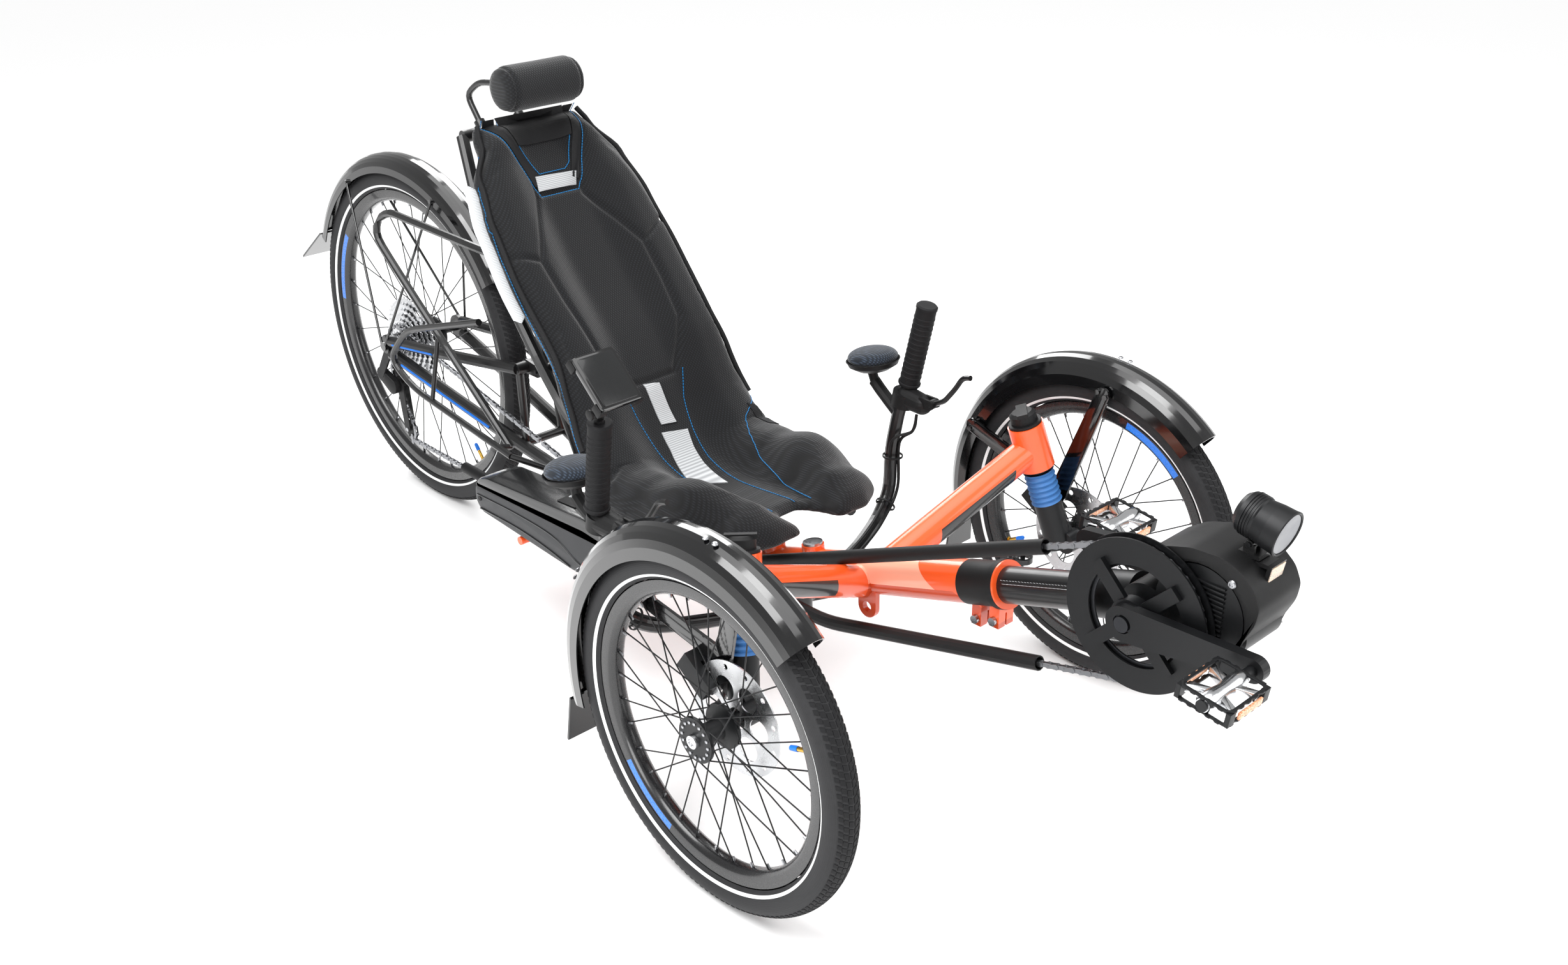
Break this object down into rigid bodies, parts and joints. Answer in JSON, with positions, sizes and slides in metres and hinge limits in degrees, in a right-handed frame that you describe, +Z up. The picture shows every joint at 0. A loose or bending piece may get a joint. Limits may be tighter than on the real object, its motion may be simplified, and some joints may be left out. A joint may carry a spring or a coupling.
{
  "type": "adult tricycle",
  "caption": "Recumbent tricycle with sprung, steered front wheels, a driven rear wheel on a sprung swingarm, under-seat bars and a sliding boom that carries motor and cranks.",
  "frame": {"origin": "on the ground under the middle of the tricycle", "axes": "+X forward, +Y to the rider's left, +Z up"},
  "size_m": [2.2577, 0.847, 0.909],
  "materials": {
    "frame_paint": "orange powder coat, satin",
    "black_metal": "black powder coat, satin",
    "black_steel": "black paint, satin",
    "seat_mesh": "black spacer mesh, matte",
    "battery_case": "dark grey moulded, satin",
    "black_plastic": "moulded, matte",
    "gloss_black": "gloss black",
    "tyre_rubber": "rubber, matte",
    "grip_rubber": "rubber, matte",
    "bellows_blue": "blue rubber, satin",
    "bright_steel": "brushed",
    "chain_steel": "oiled links",
    "bolt_steel": "dark zinc",
    "lens_clear": "clear"
  },
  "bodies": {
    "frame": {"main_frame": "frame_paint", "frame_fittings": "bolt_steel", "seat_frame": "black_metal", "seat_back_pad": "seat_mesh", "seat_base_pad": "seat_mesh", "battery_pack": "battery_case", "rack": "black_metal", "chain_tubes": "black_plastic", "chain_middle": "chain_steel"},
    "boom": {"boom_tube": "black_metal", "motor_housing": "black_metal", "motor_cover": "black_plastic", "light_bracket": "black_metal", "chain_front": "chain_steel"},
    "headlight": {"headlight_body": "black_metal", "headlight_lens": "lens_clear"},
    "crank": {"crank_spindle": "bolt_steel", "crank_arm_right": "black_metal", "crank_arm_left": "black_metal", "chainring": "bolt_steel", "chain_guard": "black_metal"},
    "pedal_r": {"pedal_right": "black_metal"},
    "pedal_l": {"pedal_left": "black_metal"},
    "idler": {"idler_pulley": "black_plastic"},
    "steering": {"handlebar": "black_metal", "grips": "grip_rubber", "palm_pads": "seat_mesh", "bar_fittings": "black_metal"},
    "lever_r": {"brake_lever_right": "black_metal"},
    "lever_l": {"brake_lever_left": "black_metal"},
    "display": {"display_unit": "gloss_black"},
    "tie_r": {"tie_rod_right": "bright_steel"},
    "tie_l": {"tie_rod_left": "bright_steel"},
    "headrest": {"headrest_pad": "seat_mesh", "headrest_posts": "black_metal"},
    "swing": {"swingarm": "black_metal", "rear_fender": "gloss_black", "derailleur": "black_metal", "chain_rear": "chain_steel", "chain_tube_rear": "black_plastic"},
    "rear_wheel": {"rear_tyre": "tyre_rubber", "rear_spoked_wheel": "black_metal"},
    "cassette_block": {"cassette": "bright_steel"},
    "shock_lower": {"shock_shaft": "bright_steel"},
    "shock_upper": {"shock_body": "black_metal"},
    "kingpin_r": {"kingpin_right": "black_metal", "bellows_right": "bellows_blue"},
    "strut_r": {"knuckle_right": "black_metal", "fender_right": "gloss_black"},
    "wheel_r": {"tyre_right": "tyre_rubber", "spoked_wheel_right": "black_metal", "rotor_right": "bright_steel"},
    "kingpin_l": {"kingpin_left": "black_metal", "bellows_left": "bellows_blue"},
    "strut_l": {"knuckle_left": "black_metal", "fender_left": "gloss_black"},
    "wheel_l": {"tyre_left": "tyre_rubber", "spoked_wheel_left": "black_metal", "rotor_left": "bright_steel"}
  },
  "joints": [
    {"name": "boom_slide", "type": "slide", "parent": "frame", "child": "boom", "axis": [0.9505, 0, 0.3107], "range_m": [-0.03, 0.03]},
    {"name": "headlight_tilt", "type": "hinge", "parent": "boom", "child": "headlight", "pos_m": [1.0292, 0, 0.556], "axis": [0, 1, 0], "range_deg": [-15, 10]},
    {"name": "crank_spin", "type": "hinge", "parent": "boom", "child": "crank", "pos_m": [0.9242, 0, 0.44], "axis": [0, 1, 0], "continuous": true},
    {"name": "pedal_right_spin", "type": "hinge", "parent": "crank", "child": "pedal_r", "pos_m": [1.09365, -0.142, 0.45363], "axis": [0, 1, 0], "continuous": true},
    {"name": "pedal_left_spin", "type": "hinge", "parent": "crank", "child": "pedal_l", "pos_m": [0.75475, 0.142, 0.42637], "axis": [0, 1, 0], "continuous": true},
    {"name": "idler_spin", "type": "hinge", "parent": "frame", "child": "idler", "pos_m": [0.1152, -0.054, 0.2147], "axis": [0, 1, 0], "continuous": true},
    {"name": "steering_turn", "type": "hinge", "parent": "frame", "child": "steering", "pos_m": [0.2952, 0, 0.175], "axis": [0, 0, 1], "range_deg": [-15, 15]},
    {"name": "brake_right_pull", "type": "hinge", "parent": "steering", "child": "lever_r", "pos_m": [0.2832, -0.304, 0.404], "axis": [0, -1, 0], "range_deg": [0, 14], "stiffness_Nm_per_rad": 0.6, "springref_deg": -17.19},
    {"name": "brake_left_pull", "type": "hinge", "parent": "steering", "child": "lever_l", "pos_m": [0.2832, 0.304, 0.404], "axis": [0, -1, 0], "range_deg": [0, 14], "stiffness_Nm_per_rad": 0.6, "springref_deg": -17.19},
    {"name": "display_tilt", "type": "hinge", "parent": "steering", "child": "display", "pos_m": [0.2542, -0.322, 0.573], "axis": [0, 1, 0], "range_deg": [-20, 20]},
    {"name": "headrest_slide", "type": "slide", "parent": "frame", "child": "headrest", "axis": [-0.6141, 0, 0.7892], "range_m": [0, 0.06]},
    {"name": "swingarm_pivot", "type": "hinge", "parent": "frame", "child": "swing", "pos_m": [-0.2548, 0, 0.215], "axis": [0, 1, 0], "range_deg": [0, 9.5], "stiffness_Nm_per_rad": 2000, "springref_deg": -2.86},
    {"name": "rear_wheel_spin", "type": "hinge", "parent": "swing", "child": "rear_wheel", "pos_m": [-0.7348, 0, 0.326], "axis": [0, 1, 0], "continuous": true},
    {"name": "cassette_spin", "type": "hinge", "parent": "swing", "child": "cassette_block", "pos_m": [-0.7348, 0, 0.326], "axis": [0, 1, 0], "continuous": true},
    {"name": "shock_body_pivot", "type": "hinge", "parent": "frame", "child": "shock_upper", "pos_m": [-0.1448, 0, 0.335], "axis": [0, 1, 0], "range_deg": [-0.5, 6.5]},
    {"name": "shock_slide", "type": "slide", "parent": "shock_upper", "child": "shock_lower", "axis": [0.9825, 0, -0.1864], "range_m": [-0.001, 0.03]},
    {"name": "kingpin_right_turn", "type": "hinge", "parent": "frame", "child": "kingpin_r", "pos_m": [0.5132, -0.309, 0.315], "axis": [-0.2237, 0.201, 0.9537], "range_deg": [-16, 16]},
    {"name": "strut_right_travel", "type": "slide", "parent": "kingpin_r", "child": "strut_r", "axis": [-0.2237, 0.201, 0.9537], "range_m": [0, 0.04], "stiffness_N_per_m": 12000, "springref_m": -0.012, "deforming": ["bellows_right"]},
    {"name": "wheel_right_spin", "type": "hinge", "parent": "strut_r", "child": "wheel_r", "pos_m": [0.5452, -0.3925, 0.25], "axis": [0, 1, 0], "continuous": true},
    {"name": "tie_rod_right_turn", "type": "hinge", "parent": "steering", "child": "tie_r", "pos_m": [0.2402, -0.022, 0.139], "axis": [0, 0, 1], "range_deg": [-17, 17]},
    {"name": "kingpin_left_turn", "type": "hinge", "parent": "frame", "child": "kingpin_l", "pos_m": [0.5132, 0.309, 0.315], "axis": [-0.2237, -0.201, 0.9537], "range_deg": [-16, 16]},
    {"name": "strut_left_travel", "type": "slide", "parent": "kingpin_l", "child": "strut_l", "axis": [-0.2237, -0.201, 0.9537], "range_m": [0, 0.04], "stiffness_N_per_m": 12000, "springref_m": -0.012, "deforming": ["bellows_left"]},
    {"name": "wheel_left_spin", "type": "hinge", "parent": "strut_l", "child": "wheel_l", "pos_m": [0.5452, 0.3925, 0.25], "axis": [0, 1, 0], "continuous": true},
    {"name": "tie_rod_left_turn", "type": "hinge", "parent": "steering", "child": "tie_l", "pos_m": [0.2402, 0.022, 0.139], "axis": [0, 0, 1], "range_deg": [-17, 17]}
  ],
  "couplings": [
    {"joint": "idler_spin", "follows": "crank_spin", "ratio": -2.9667},
    {"joint": "cassette_spin", "follows": "crank_spin", "ratio": 2.5872},
    {"joint": "kingpin_right_turn", "follows": "steering_turn", "ratio": 1},
    {"joint": "kingpin_left_turn", "follows": "steering_turn", "ratio": 1},
    {"joint": "tie_rod_right_turn", "follows": "steering_turn", "ratio": -1.1},
    {"joint": "tie_rod_left_turn", "follows": "steering_turn", "ratio": -1.1},
    {"joint": "shock_body_pivot", "follows": "swingarm_pivot", "ratio": 0.59},
    {"joint": "shock_slide", "follows": "swingarm_pivot", "m_per_rad": 0.142}
  ]
}
